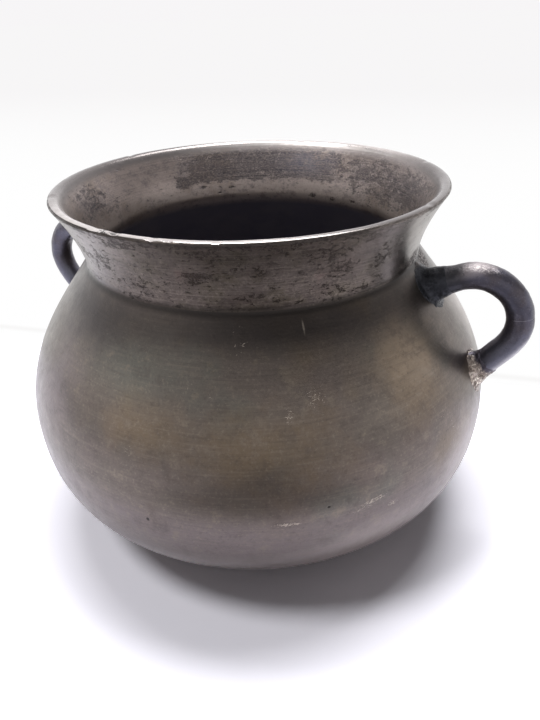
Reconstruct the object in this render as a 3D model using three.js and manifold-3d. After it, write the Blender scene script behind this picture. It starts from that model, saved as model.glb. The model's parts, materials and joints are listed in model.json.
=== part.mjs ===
// A cooking pot: a round bronze casting with a flared collar, and two bent bar handles brazed to its wall.
// Lengths are in millimetres and angles in degrees. +Z is up, and the origin is the middle of the flat base.
// The handles stand along X. Every piece is a solid of its own, parted from what it sits on by a thin seat gap.
import * as THREE from "three";
import { mergeVertices } from "three/addons/utils/BufferGeometryUtils.js";
import Module from "manifold-3d";

// The casting's outside, from the base up. A pull is how far a curve keeps its direction at one of its ends.
const baseRadius = 48;
const undersideRise = 9;
const undersidePull = 81.5;
const bellyRadius = 141.8;
const bellyHeight = 78.6;
const bellyPullDown = 38.3;
const bellyPullUp = 41.2;
const shoulderHeight = 89.9;
const shoulderSlope = 54.6;
const shoulderPull = 28.3;
const neckRadius = 96.2;
const creaseBlend = 1.6;
const collarHeight = 37.5;
const collarFlare = 1.6;
const rimRadius = 110;

// The turned lip and the casting's wall
const rimEdge = 1.8;
const rimCorner = 0.7;
const lipWidth = 3.9;
const lipRoundWidth = 3;
const lipRoundDepth = 2.8;
const neckWall = 6.5;
const throatRise = 1.1;
const bellyWall = 4;

// The bent bar: one round bend between a straight arm, thicker at its root in the shoulder, and a straight leg
const barRadius = 7.15;
const rootRadius = 9.3;
const rootTaper = 25;
const bendRadius = 23.5;
const bendDrop = 27.5;
const armRise = 23;
const legRise = 53.8;
const handleOverhang = 19.2;

// The braze round each end of a bar: how far it climbs the bar and how far it spreads over the wall
const brazeClimb = 8;
const brazeSpread = 4.2;
const brazeTongue = 2.4;
const brazeEdge = 0.9;
const brazeLumps = [3, 5];
const armLumpTurn = 1;
const legLumpTurn = 2;
const brazeLumpShare = 0.11;

// Clearances and cuts
const seatGap = 0.3;
const cutOverrun = 12;

// How finely the curves are faceted
const turnSegments = 68;
const undersideSteps = 9;
const shoulderSteps = 8;
const collarSteps = 5;
const cornerSteps = 3;
const bendSteps = 20;
const straightSteps = 5;
const barSides = 16;
const brazeSides = 24;
const blendSteps = 4;
const seatStrides = 40;
const seatHalvings = 30;

const neckHeight = bellyHeight + shoulderHeight;
const rimHeight = neckHeight + collarHeight;
const throatRadius = neckRadius - neckWall;
const throatHeight = neckHeight + throatRise;
const lipInnerRadius = rimRadius - lipWidth - lipRoundWidth;
const lipInnerHeight = rimHeight - lipRoundDepth;

const wasm = await Module();
wasm.setup();

// The point at a distance from another, in the direction of an angle above the horizontal.
function toward(point, angle, distance) {
  const turn = THREE.MathUtils.degToRad(angle);
  return new THREE.Vector2(Math.cos(turn), Math.sin(turn)).multiplyScalar(distance).add(point);
}

// The outside of the belly, from the edge of the base up to the neck's crease.
function bellyOutline() {
  const base = new THREE.Vector2(baseRadius, 0);
  const widest = new THREE.Vector2(bellyRadius, bellyHeight);
  const neck = new THREE.Vector2(neckRadius, neckHeight);
  const underside = new THREE.CubicBezierCurve(
    base,
    toward(base, undersideRise, undersidePull),
    toward(widest, -90, bellyPullDown),
    widest,
  );
  const shoulder = new THREE.CubicBezierCurve(
    widest,
    toward(widest, 90, bellyPullUp),
    toward(neck, -shoulderSlope, shoulderPull),
    neck,
  );
  return [...underside.getPoints(undersideSteps), ...shoulder.getPoints(shoulderSteps).slice(1)];
}

// A wall of the collar: upright at its foot, and leaning out more and more up to its top.
function collarOutline(foot, top) {
  return Array.from({ length: collarSteps + 1 }, (_, step) => {
    const share = step / collarSteps;
    const lean = (top.x - foot.x) * share ** collarFlare;
    return new THREE.Vector2(foot.x + lean, foot.y + (top.y - foot.y) * share);
  });
}

// Rounds the corner of an outline at one of its points, over a distance each way.
function blendCorner(outline, index, distance) {
  const corner = outline[index];
  const [before, after] = [outline[index - 1], outline[index + 1]].map((end) =>
    corner.clone().add(end.clone().sub(corner).setLength(distance)),
  );
  const round = new THREE.QuadraticBezierCurve(before, corner, after).getPoints(cornerSteps);
  return [...outline.slice(0, index), ...round, ...outline.slice(index + 1)];
}

// The whole outside of the casting, from the edge of the base up to the top of the rim.
function outsideOutline() {
  const belly = bellyOutline();
  const neck = belly.at(-1);
  const collar = collarOutline(neck, new THREE.Vector2(rimRadius, rimHeight - rimEdge));
  const creased = [...belly, ...collar.slice(1)];
  const outline = blendCorner(creased, belly.length - 1, creaseBlend);
  const edge = [
    collar.at(-1),
    new THREE.Vector2(rimRadius, rimHeight),
    new THREE.Vector2(rimRadius - lipWidth, rimHeight),
  ];
  return [...outline, ...blendCorner(edge, 1, rimCorner).slice(1)];
}

// The outline moved square to itself, to the outside where the distance is positive.
function offsetOutline(outline, distance) {
  return outline.map((point, index) => {
    const before = outline[Math.max(index - 1, 0)];
    const after = outline[Math.min(index + 1, outline.length - 1)];
    const along = after.clone().sub(before).normalize();
    return new THREE.Vector2(along.y, -along.x).multiplyScalar(distance).add(point);
  });
}

// The inside of the casting, from the lip down to the middle of the bottom.
function insideOutline() {
  const throat = new THREE.Vector2(throatRadius, throatHeight);
  const collar = collarOutline(throat, new THREE.Vector2(lipInnerRadius, lipInnerHeight)).reverse();
  const lean = collar[0].clone().sub(collar[1]);
  const crown = collar[0].clone().add(lean.multiplyScalar(lipRoundDepth / lean.y));
  const lip = new THREE.Vector2(rimRadius - lipWidth, rimHeight);
  const round = new THREE.QuadraticBezierCurve(lip, crown, collar[0]).getPoints(cornerSteps);
  const belly = offsetOutline(bellyOutline().slice(0, -1), -bellyWall).reverse();
  return [...round.slice(1), ...collar.slice(1), ...belly, new THREE.Vector2(0, bellyWall)];
}

// A closed geometry as a solid that can be joined and cut.
function solidOf(geometry) {
  const bare = geometry.clone();
  bare.deleteAttribute("normal");
  bare.deleteAttribute("uv");
  const merged = mergeVertices(bare);
  const corners = Array.from(merged.index.array);
  const triVerts = [];
  for (let i = 0; i < corners.length; i += 3) {
    const [a, b, c] = corners.slice(i, i + 3);
    if (a !== b && b !== c && c !== a) triVerts.push(a, b, c);
  }
  const mesh = new wasm.Mesh({
    numProp: 3,
    vertProperties: merged.attributes.position.array,
    triVerts: Uint32Array.from(triVerts),
  });
  return new wasm.Manifold(mesh);
}

// A solid as a geometry that a mesh can show.
function geometryOf(solid) {
  const { vertProperties, triVerts } = solid.getMesh();
  const geometry = new THREE.BufferGeometry();
  geometry.setAttribute("position", new THREE.BufferAttribute(vertProperties, 3));
  geometry.setIndex(new THREE.BufferAttribute(triVerts, 1));
  geometry.computeVertexNormals();
  return geometry;
}

// An outline of radius and height, turned about the pot's upright axis.
function revolve(outline) {
  return solidOf(new THREE.LatheGeometry(outline, turnSegments).rotateX(Math.PI / 2));
}

// A skin over a row of rings with as many points each. The row closes on itself, or ends in two flat caps.
function loft(rings, closesOnItself) {
  const sides = rings[0].length;
  const positions = rings.flatMap((ring) => ring.flatMap((point) => point.toArray()));
  const index = [];
  const rows = closesOnItself ? rings.length : rings.length - 1;
  for (let row = 0; row < rows; row += 1) {
    const here = row * sides;
    const next = ((row + 1) % rings.length) * sides;
    for (let side = 0; side < sides; side += 1) {
      const other = (side + 1) % sides;
      index.push(here + side, here + other, next + side, here + other, next + other, next + side);
    }
  }
  if (!closesOnItself) {
    const last = (rings.length - 1) * sides;
    for (let side = 1; side < sides - 1; side += 1) {
      index.push(0, side + 1, side, last, last + side, last + side + 1);
    }
  }
  const geometry = new THREE.BufferGeometry();
  geometry.setAttribute("position", new THREE.Float32BufferAttribute(positions, 3));
  geometry.setIndex(index);
  return geometry;
}

const outside = outsideOutline();
const seatOutline = offsetOutline(outside, seatGap);

// The casting with its wall, and the full round shape that a piece on its outside is cut back by.
const casting = revolve([new THREE.Vector2(0, 0), ...outside, ...insideOutline()]);
const castingSeat = revolve([
  new THREE.Vector2(0, -seatGap),
  ...seatOutline,
  new THREE.Vector2(0, rimHeight + seatGap),
]);

// The outside radius of the casting at a height.
function outsideRadius(height) {
  const above = outside.findIndex((point) => point.y > height);
  if (above < 1) return above < 0 ? rimRadius : baseRadius;
  const [low, high] = [outside[above - 1], outside[above]];
  return THREE.MathUtils.mapLinear(height, low.y, high.y, low.x, high.x);
}

// How far a point outside the casting is from its wall, along a direction.
function distanceToWall(point, direction) {
  const isSunk = (distance) => {
    const place = point.clone().addScaledVector(direction, distance);
    return Math.hypot(place.x, place.y) < outsideRadius(place.z);
  };
  const strides = Array.from({ length: seatStrides }, (_, stride) => (stride + 1) * barRadius);
  let sunk = strides.find(isSunk);
  let clear = sunk - barRadius;
  for (let halving = 0; halving < seatHalvings; halving += 1) {
    const middle = (clear + sunk) / 2;
    if (isSunk(middle)) sunk = middle;
    else clear = middle;
  }
  return sunk;
}

// Where a straight end of the bar meets the wall, the way it leaves the wall, and its end inside the wall.
function seatOf(point, inward) {
  const place = point.clone().addScaledVector(inward, distanceToWall(point, inward));
  return { place, outward: inward.clone().negate(), end: place.clone().addScaledVector(inward, cutOverrun) };
}

// The centre line of the bar in the plane of X and Z, from its arm in the shoulder to its leg in the belly.
function bentBar() {
  const bend = new THREE.EllipseCurve(
    bellyRadius + handleOverhang - barRadius - bendRadius,
    neckHeight - bendDrop,
    bendRadius,
    bendRadius,
    THREE.MathUtils.degToRad(90 + armRise),
    THREE.MathUtils.degToRad(legRise - 90),
    true,
  );
  const upright = ({ x, y }) => new THREE.Vector3(x, 0, y);
  const bendPlaces = bend.getPoints(bendSteps).map(upright);
  const arm = seatOf(bendPlaces[0], upright(bend.getTangent(0)).negate());
  const leg = seatOf(bendPlaces.at(-1), upright(bend.getTangent(1)));
  const armLine = new THREE.LineCurve3(arm.end, bendPlaces[0]).getPoints(straightSteps);
  const legLine = new THREE.LineCurve3(bendPlaces.at(-1), leg.end).getPoints(straightSteps);
  return { arm, leg, places: [...armLine.slice(0, -1), ...bendPlaces, ...legLine.slice(1)] };
}

// The radius of the bar at a distance from its seat in the shoulder, where it is thickest.
function barRadiusAt(distance) {
  const share = THREE.MathUtils.smoothstep(distance, 0, rootTaper);
  return THREE.MathUtils.lerp(rootRadius, barRadius, share);
}

const bar = bentBar();

// The bar as a solid, with its skin moved out by a clearance.
function barSolid(clearance) {
  let distance = -cutOverrun;
  const rings = bar.places.map((place, index) => {
    const before = bar.places[Math.max(index - 1, 0)];
    const after = bar.places[Math.min(index + 1, bar.places.length - 1)];
    if (index > 0) distance += place.distanceTo(before);
    const along = after.clone().sub(before).normalize();
    const side = new THREE.Vector3(0, 1, 0);
    const normal = side.clone().cross(along);
    const radius = barRadiusAt(distance) + clearance;
    return Array.from({ length: barSides }, (_, step) => {
      const angle = (step / barSides) * 2 * Math.PI;
      return place
        .clone()
        .addScaledVector(normal, radius * Math.cos(angle))
        .addScaledVector(side, radius * Math.sin(angle));
    });
  });
  return solidOf(loft(rings, false));
}

// The braze round one end of the bar: a hollow fillet that climbs the bar and spreads over the wall, uneven all
// round. It spreads further on its upper side, by the length of its tongue.
function brazeSolid({ place, outward }, endRadius, climbedRadius, tongue, lumpTurn) {
  const side = new THREE.Vector3(0, 1, 0);
  const upward = outward.clone().cross(side);
  const sections = Array.from({ length: brazeSides }, (_, step) => {
    const angle = (step / brazeSides) * 2 * Math.PI;
    const radial = upward.clone().multiplyScalar(Math.cos(angle)).addScaledVector(side, Math.sin(angle));
    const at = (radius, lift) =>
      place.clone().addScaledVector(radial, radius).addScaledVector(outward, lift);
    const wallLift = (radius) => {
      const start = at(radius, bellyRadius);
      return bellyRadius - distanceToWall(start, outward.clone().negate());
    };
    const waves = brazeLumps.map((lumps) => Math.sin(lumps * angle + lumpTurn));
    const lump = 1 + brazeLumpShare * (waves[0] + waves[1]);
    const spread = brazeSpread * lump + tongue * Math.max(0, Math.cos(angle)) ** 2;
    const footRadius = endRadius + spread;
    const footLift = wallLift(footRadius);
    const topLift = wallLift(endRadius) + brazeClimb * lump;
    const corner = at(climbedRadius + brazeEdge, Math.max(footLift, wallLift(endRadius)) + brazeEdge);
    const blend = new THREE.QuadraticBezierCurve3(
      at(footRadius, footLift + brazeEdge),
      corner,
      at(climbedRadius + brazeEdge, topLift),
    );
    const depth = Math.min(footLift, wallLift(endRadius)) - brazeClimb;
    return [
      at(footRadius, depth),
      ...blend.getPoints(blendSteps),
      at(barRadius - brazeEdge, topLift),
      at(barRadius - brazeEdge, depth),
    ];
  });
  return solidOf(loft(sections, true));
}

const bronze = new THREE.MeshStandardMaterial({ color: 0x6f675c, roughness: 0.45, metalness: 0.85 });
const darkIron = new THREE.MeshStandardMaterial({ color: 0x3a3437, roughness: 0.4, metalness: 0.8 });
const spelter = new THREE.MeshStandardMaterial({ color: 0x7d7363, roughness: 0.6, metalness: 0.7 });

const pot = new THREE.Group();

function addPiece(group, name, solid, material) {
  const mesh = new THREE.Mesh(geometryOf(solid), material);
  mesh.name = name;
  group.add(mesh);
}

addPiece(pot, "pot_body", casting, bronze);

const cutBar = barSolid(0).subtract(castingSeat);
const barSeat = barSolid(seatGap);
const upperBraze = brazeSolid(bar.arm, rootRadius, barRadiusAt(brazeClimb), brazeTongue, armLumpTurn)
  .subtract(castingSeat)
  .subtract(barSeat);
const lowerBraze = brazeSolid(bar.leg, barRadius, barRadius, 0, legLumpTurn)
  .subtract(castingSeat)
  .subtract(barSeat);

for (const [name, turn] of [["right", 0], ["left", Math.PI]]) {
  const side = new THREE.Group();
  side.rotation.z = turn;
  addPiece(side, `handle_${name}`, cutBar, darkIron);
  addPiece(side, `braze_upper_${name}`, upperBraze, spelter);
  addPiece(side, `braze_lower_${name}`, lowerBraze, spelter);
  pot.add(side);
}

export default pot;
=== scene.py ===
import json
import math

import bpy
from mathutils import Matrix, Vector
from mathutils.geometry import interpolate_bezier

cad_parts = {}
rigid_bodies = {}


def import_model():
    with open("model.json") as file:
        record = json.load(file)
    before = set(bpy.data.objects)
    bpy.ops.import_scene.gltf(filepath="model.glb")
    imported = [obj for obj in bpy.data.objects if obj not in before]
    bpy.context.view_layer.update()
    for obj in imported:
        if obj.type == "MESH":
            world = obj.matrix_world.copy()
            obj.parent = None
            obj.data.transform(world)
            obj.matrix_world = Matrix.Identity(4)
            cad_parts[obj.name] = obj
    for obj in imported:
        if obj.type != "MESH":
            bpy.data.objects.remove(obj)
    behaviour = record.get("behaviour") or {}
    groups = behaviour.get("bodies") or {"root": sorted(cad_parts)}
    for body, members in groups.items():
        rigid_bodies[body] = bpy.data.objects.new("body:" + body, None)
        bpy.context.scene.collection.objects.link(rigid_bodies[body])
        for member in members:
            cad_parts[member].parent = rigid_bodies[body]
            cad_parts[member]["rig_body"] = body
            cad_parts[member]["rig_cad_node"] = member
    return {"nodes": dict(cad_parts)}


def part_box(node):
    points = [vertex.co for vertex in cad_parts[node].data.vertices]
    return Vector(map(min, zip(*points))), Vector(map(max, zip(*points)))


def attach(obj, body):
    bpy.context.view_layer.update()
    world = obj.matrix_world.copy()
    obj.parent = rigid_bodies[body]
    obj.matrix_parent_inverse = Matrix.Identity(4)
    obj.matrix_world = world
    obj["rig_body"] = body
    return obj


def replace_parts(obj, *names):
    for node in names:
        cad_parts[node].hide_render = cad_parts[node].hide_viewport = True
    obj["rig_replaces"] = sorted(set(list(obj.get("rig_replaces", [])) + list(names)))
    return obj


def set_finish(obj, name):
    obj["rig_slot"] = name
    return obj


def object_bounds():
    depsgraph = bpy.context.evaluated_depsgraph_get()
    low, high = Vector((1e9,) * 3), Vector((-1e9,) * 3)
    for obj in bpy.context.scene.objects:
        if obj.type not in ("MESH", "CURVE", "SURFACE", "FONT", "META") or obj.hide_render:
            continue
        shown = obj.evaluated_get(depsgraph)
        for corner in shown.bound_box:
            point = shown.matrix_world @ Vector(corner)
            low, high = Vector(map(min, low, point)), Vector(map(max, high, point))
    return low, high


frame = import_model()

cad_low, cad_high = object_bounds()

# The camera stands in front of the pot, to the left of its right-hand handle, and looks down into the mouth.
# Its lens is that of a telephone held close, so the rim looks large and the base small.
camera_place = Vector((0.1523, -0.2989, 0.2854))
camera_heading = math.radians(25.72)
camera_tilt = math.radians(59.13)
camera_roll = math.radians(-2.16)
camera_lens = 29.15
camera_nearest = 0.01

bpy.ops.object.camera_add()
camera = bpy.context.object
camera.data.lens = camera_lens
camera.data.clip_start = camera_nearest
camera.matrix_world = (
    Matrix.Translation(camera_place)
    @ Matrix.Rotation(camera_heading, 4, "Z")
    @ Matrix.Rotation(camera_tilt, 4, "X")
    @ Matrix.Rotation(camera_roll, 4, "Z")
)
bpy.context.scene.camera = camera
bpy.context.scene.view_settings.view_transform = "Standard"

# The pot is one bronze casting, round about its upright axis, as its mould was swept by a turning board. Here
# too an outline is drawn from the middle of the base, up the outside, over the lip and down the inside, and
# then spun. The casting's skin is left on it, scraped on the collar and black with soot inside, painted paler
# there as a haze of light.
base_radius = 0.048
belly_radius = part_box("pot_body")[1].x
belly_height = 0.0786
neck_radius = 0.0962
neck_height = 0.1685
rim_radius = 0.11
rim_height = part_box("pot_body")[1].z
rim_edge = 0.0018
rim_fall = 0.0027
lip_width = 0.0039
lip_round_width = 0.003
lip_round_depth = 0.0028
lip_sink = 0.0055
neck_wall = 0.0065
belly_wall = 0.004
throat_rise = 0.0011
throat_round = 0.0035
crease_round = 0.0018
collar_foot_lean = 0.08
collar_top_lean = 0.467
underside_rise = 9
shoulder_slope = -54.6
outer_pulls = (0.0815, 0.0383, 0.0412, 0.0283)
inner_pulls = (0.078, 0.0365, 0.0395, 0.0265)
rim_rise_pull = 0.0011
rim_flat_pull = 0.0014
lip_flat_pull = 0.0034
lip_fall_pull = 0.003
wall_steps = 34
rim_steps = 9
lip_steps = 16
corner_steps = 7
corner_pull = 0.6
board_turns = 400
merge_distance = 1e-6


def flat_point(radius, height):
    """A point of the board's outline, in the plane of X and Z."""
    return Vector((radius, 0, height))


def leaning(length, degrees):
    """A step of that length, leaning up from +X by so many degrees."""
    return flat_point(length * math.cos(math.radians(degrees)), length * math.sin(math.radians(degrees)))


def bend(start, pull_out, pull_in, end, steps):
    """Points of a smooth curve between two points, without its first, from the pull at each of its ends."""
    return [*interpolate_bezier(start, start + pull_out, end + pull_in, end, steps + 1)[1:-1], end]


def belly_curve(start, middle, end, pulls):
    """The belly's wall, from the edge of the base over its widest place to the neck. The four pulls are those
    at its start, below and above its middle, and at its end."""
    out, down, up, back = pulls
    return [
        start,
        *bend(start, leaning(out, underside_rise), flat_point(0, -down), middle, wall_steps),
        *bend(middle, flat_point(0, up), leaning(back, shoulder_slope), end, wall_steps),
    ]


def collar_curve(foot, top):
    """The collar's wall, upright at its foot and leaning out more and more."""
    reach = top - foot
    first = flat_point(collar_foot_lean * reach.x, reach.z / 3)
    second = flat_point(collar_top_lean * reach.x, reach.z * 2 / 3)
    return bend(foot, first, second - reach, top, wall_steps)


def round_corner(points, corner, distance):
    """The outline with one of its corners rounded, from a distance before it to that distance after it."""
    index = points.index(corner)
    far = [number for number, point in enumerate(points) if (point - corner).length > distance]
    last = max(number for number in far if number < index)
    following = min(number for number in far if number > index)
    start, end = (corner + (points[number] - corner).normalized() * distance for number in (last, following))
    pulls = ((corner - start) * corner_pull, (corner - end) * corner_pull)
    arc = [start, *bend(start, *pulls, end, corner_steps)]
    return points[:last + 1] + arc + points[following:]


base = flat_point(base_radius, 0)
widest = flat_point(belly_radius, belly_height)
neck = flat_point(neck_radius, neck_height)
collar_top = flat_point(rim_radius, rim_height - rim_edge)
rim_crest = flat_point(rim_radius - rim_fall, rim_height)
rim_inner = flat_point(rim_radius - lip_width, rim_height)
lip_foot = rim_inner - flat_point(lip_round_width, lip_round_depth)
throat = flat_point(neck_radius - neck_wall, neck_height + throat_rise)
inner_wall = [place for place in collar_curve(throat, lip_foot) if place.z < rim_height - lip_sink]
inner_wall_way = (inner_wall[-1] - inner_wall[-2]).normalized()
inner_base = flat_point(base_radius, belly_wall)
inner_widest = flat_point(belly_radius - belly_wall, belly_height)

outside = [*belly_curve(base, widest, neck, outer_pulls), *collar_curve(neck, collar_top)]
lip = [
    *bend(collar_top, flat_point(0, rim_rise_pull), flat_point(rim_flat_pull, 0), rim_crest, rim_steps),
    *bend(rim_crest, leaning(lip_flat_pull, 180), inner_wall_way * lip_fall_pull, inner_wall[-1], lip_steps),
]
inner_collar = list(reversed([throat, *inner_wall]))[1:]
inside = list(reversed(belly_curve(inner_base, inner_widest, throat, inner_pulls)))[1:]
outline = [flat_point(0, 0), *outside, *lip, *inner_collar, *inside, flat_point(0, belly_wall)]
outline = round_corner(outline, neck, crease_round)
outline = round_corner(outline, throat, throat_round)

bpy.ops.object.select_all(action="DESELECT")
bpy.ops.mesh.primitive_plane_add(size=belly_wall, location=outline[0])
pot = bpy.context.object
pot.name = "cast_pot"
bpy.ops.object.mode_set(mode="EDIT")
bpy.ops.mesh.merge(type="CENTER")
for place, following in zip(outline, outline[1:]):
    bpy.ops.mesh.extrude_vertices_move(TRANSFORM_OT_translate={"value": following - place})
bpy.ops.object.mode_set(mode="OBJECT")
sweep = pot.modifiers.new("turning_board", "SCREW")
sweep.steps = sweep.render_steps = board_turns
sweep.use_merge_vertices = True
bpy.ops.object.modifier_apply(modifier="turning_board")
bpy.ops.object.mode_set(mode="EDIT")
bpy.ops.mesh.select_all(action="SELECT")
bpy.ops.mesh.remove_doubles(threshold=merge_distance)
bpy.ops.mesh.normals_make_consistent(inside=False)
bpy.ops.object.mode_set(mode="OBJECT")


def uneven(piece, name, grain, depth, level=1.0):
    """Presses a cloudy unevenness into a piece: its grain is how far apart the hollows lie."""
    texture = bpy.data.textures.new(name, "CLOUDS")
    texture.noise_scale = grain
    hollows = piece.modifiers.new(name, "DISPLACE")
    hollows.texture = texture
    hollows.texture_coords = "LOCAL"
    hollows.strength = depth
    hollows.mid_level = level
    bpy.context.view_layer.objects.active = piece
    bpy.ops.object.modifier_apply(modifier=name)


uneven(pot, "casting_waves", grain=0.06, depth=0.00035)
uneven(pot, "casting_skin", grain=0.011, depth=0.00012)

# The lip's nicks: the turn of each about the axis, in degrees from +X, and its reach.
lip_nicks = (
    (-104, 0.0035), (-101, 0.0022), (-97, 0.0045), (-86, 0.0025), (-82, 0.0020), (-71, 0.0022),
    (-12, 0.0035), (38, 0.0030), (97, 0.0040), (164, 0.0028), (-140, 0.0040),
)
nick_depth = 0.0005
nick_fullness = 0.7
sharp_edge = 40
nicks = pot.vertex_groups.new(name="nicks")
for corner in pot.data.vertices:
    for turn, reach in lip_nicks:
        middle = Matrix.Rotation(math.radians(turn), 3, "Z") @ rim_crest
        share = 1 - (corner.co - middle).length / reach
        if share > 0:
            nicks.add([corner.index], share ** nick_fullness, "REPLACE")
dents = pot.modifiers.new("nicks", "DISPLACE")
dents.vertex_group = "nicks"
dents.mid_level = 0
dents.strength = -nick_depth
bpy.ops.object.modifier_apply(modifier="nicks")
bpy.ops.object.shade_smooth_by_angle(angle=math.radians(sharp_edge))


class Paint:
    """A number or colour that varies over a surface. Sums and products of it add the nodes they need."""

    def __init__(self, nodes, socket):
        self.nodes = nodes
        self.socket = socket

    def reckon(self, operation, *values):
        return self.nodes.add("ShaderNodeMath", {"operation": operation}, dict(enumerate(values)))

    def __add__(self, other):
        return self.reckon("ADD", self, other)

    def __radd__(self, other):
        return self.reckon("ADD", other, self)

    def __sub__(self, other):
        return self.reckon("SUBTRACT", self, other)

    def __rsub__(self, other):
        return self.reckon("SUBTRACT", other, self)

    def __mul__(self, other):
        return self.reckon("MULTIPLY", self, other)

    def __rmul__(self, other):
        return self.reckon("MULTIPLY", other, self)

    def __or__(self, other):
        return self.reckon("MAXIMUM", self, other)

    def __abs__(self):
        return self.reckon("ABSOLUTE", self)

    def rise(self, low, high, bottom=0.0, top=1.0):
        """Goes smoothly from bottom to top while this goes from low to high."""
        settings = {"interpolation_type": "SMOOTHSTEP"}
        return self.nodes.add("ShaderNodeMapRange", settings, {0: self, 1: low, 2: high, 3: bottom, 4: top})

    def line(self, middle, width):
        """Is 1 where this is at the middle and falls to 0 at half the width on each side."""
        return abs(self - middle).rise(0, width / 2, 1, 0)


class Nodes:
    """A tree of shader nodes."""

    def __init__(self, tree):
        self.tree = tree

    def add(self, kind, settings, sockets, output=0):
        """Adds a node of that kind: its settings first, then the values or links of its sockets."""
        node = self.tree.nodes.new(kind)
        for name, value in settings.items():
            setattr(node, name, value)
        for key, value in sockets.items():
            self.set(node, key, value)
        return Paint(self, node.outputs[output])

    def set(self, node, key, value):
        if isinstance(value, Paint):
            self.tree.links.new(value.socket, node.inputs[key])
        else:
            node.inputs[key].default_value = value

    def mix(self, share, first, second):
        """A colour between two: the first where share is 0, the second where it is 1."""
        return self.add("ShaderNodeMix", {"data_type": "RGBA"}, {0: share, 6: first, 7: second}, 2)

    def dot(self, first, second):
        """How far one arrow reaches along another."""
        return self.add("ShaderNodeVectorMath", {"operation": "DOT_PRODUCT"}, {0: first, 1: second}, "Value")

    def ways_seen(self):
        """Two masks: 1 for what the camera sees straight, and 1 for what it sees mirrored in metal."""
        straight = self.add("ShaderNodeLightPath", {}, {}, "Is Camera Ray")
        outputs = straight.socket.node.outputs
        scattered = Paint(self, outputs["Diffuse Depth"])
        return straight, Paint(self, outputs["Is Glossy Ray"]) * scattered.rise(0, 0.5, 1, 0)


class Skin(Nodes):
    """A material of one skin, and patterns that are fixed to the object."""

    patch_radius = 0.12
    patch_depth = 0.07

    def __init__(self, name):
        self.material = bpy.data.materials.new(name)
        self.material.use_nodes = True
        super().__init__(self.material.node_tree)
        self.place = self.add("ShaderNodeTexCoord", {}, {}, "Object")

    def along(self, direction):
        """How far a place lies along a direction from the origin, in metres."""
        return self.dot(self.place, direction)

    def cloud(self, place, size, detail, roughness, seed):
        """Cloudy noise from 0 to 1 at a place, with patches of about that size in metres."""
        sockets = {"Vector": place, "W": seed, "Scale": 1 / size, "Detail": detail, "Roughness": roughness}
        return self.add("ShaderNodeTexNoise", {"noise_dimensions": "4D"}, sockets)

    def noise(self, size, detail, roughness, seed, stretch=(1, 1, 1)):
        """Cloudy noise over the object, squeezed along the axes by the stretch."""
        place = self.add("ShaderNodeMapping", {}, {"Vector": self.place, "Scale": stretch})
        return self.cloud(place, size, detail, roughness, seed)

    def specks(self, density, size, seed, level):
        """Ragged spots of about that size. A higher level makes them rarer, a higher density closer."""
        cloud = self.noise(size, 6, 0.75, seed)
        return (cloud + density * 0.3).rise(level, level + 0.07)

    def pitting(self, density, size, seed, stretch):
        """Crisp pits of about that size: none where the density is 0, half of the ground where it is 1."""
        cloud = self.noise(size, 6, 0.75, seed, stretch)
        return (cloud + density * 0.12).rise(0.60, 0.63)

    def crackle(self, size, seed):
        """Is 1 along the cracks of a crust whose grains are about that size."""
        return self.noise(size, 4, 0.7, seed).line(0.5, 0.05)

    def strokes(self, turn, tilt, seed, density, length):
        """Thin scratches of about that length, tilted from the level, where the wall faces a turn."""
        turned = {"Vector": self.place, "Rotation": (math.radians(tilt), 0, math.radians(turn))}
        place = self.add("ShaderNodeMapping", {"vector_type": "TEXTURE"}, turned)
        place = self.add("ShaderNodeMapping", {}, {"Vector": place, "Scale": (4, 1, 11)})
        return (self.cloud(place, length, 2.0, 0.6, seed) + density * 0.2).rise(0.8, 0.88)

    def patch(self, turn, height, across, up, tilt=0, edge=None, ragged=0.0, soft=0.5):
        """Is 1 on a patch of the wall and 0 off it. Its middle is at a turn about the axis, in degrees from
        +X, and a height, and it reaches so far across and up from there, tilted. A ragged edge follows the
        edge noise."""
        way = math.radians(turn)
        middle = (self.patch_radius * math.cos(way), self.patch_radius * math.sin(way), height)
        sockets = {"Vector": self.place, "Location": middle, "Rotation": (math.radians(tilt), 0, way),
                   "Scale": (self.patch_depth, across, up)}
        place = self.add("ShaderNodeMapping", {"vector_type": "TEXTURE"}, sockets)
        reach = self.add("ShaderNodeVectorMath", {"operation": "LENGTH"}, {0: place}, "Value")
        if ragged:
            reach = reach + (edge - 0.5) * ragged
        return reach.rise(1 - soft, 1, 1, 0)

    def pair(self, turn, *sizes, **edge):
        """The same patch on the right and, turned half round, on the left."""
        return self.patch(turn, *sizes, **edge) | self.patch(turn + 180, *sizes, **edge)

    def panel(self, turn, height, across, up, edge, ragged, soft):
        """Is 1 on a patch of the wall that is as tall at its ends as in its middle, and 0 off it."""
        way = math.radians(turn)
        beside = abs(self.along((-math.sin(way), math.cos(way), 0))) * (1 / across)
        over = abs(self.along((0, 0, 1)) - height) * (1 / up)
        reach = (beside | over) + (edge - 0.5) * ragged
        return reach.rise(1 - soft, 1, 1, 0) * self.along((math.cos(way), math.sin(way), 0)).rise(0, 0.01)

    def relief(self, height, depth):
        """The normal of a surface whose relief is this height, from 0 to 1, times a depth in metres."""
        return self.add("ShaderNodeBump", {}, {"Strength": 1.0, "Distance": depth, "Height": height})

    def finish(self, **sockets):
        """Sets sockets of the metal's shader, by their names with an underscore for a space."""
        shader = self.tree.nodes["Principled BSDF"]
        for name, value in sockets.items():
            self.set(shader, name.replace("_", " "), value)
        return self.material


def colour(red, green, blue):
    """A colour as it is seen, from 0 to 255, as the shader's linear one."""
    parts = [part / 255 for part in (red, green, blue)]
    return (*(((part + 0.055) / 1.055) ** 2.4 if part > 0.04 else part / 12.92 for part in parts), 1.0)


def crusted(skin, tint, crust, grain, cracks, grey, spark):
    """A tint under a burnt crust, with sparkling grains and dark cracks."""
    tint = skin.mix(crust, tint, skin.mix(grain.rise(0.50, 0.58), grey, spark))
    return skin.mix(crust * cracks, tint, colour(30, 27, 27))


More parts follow.
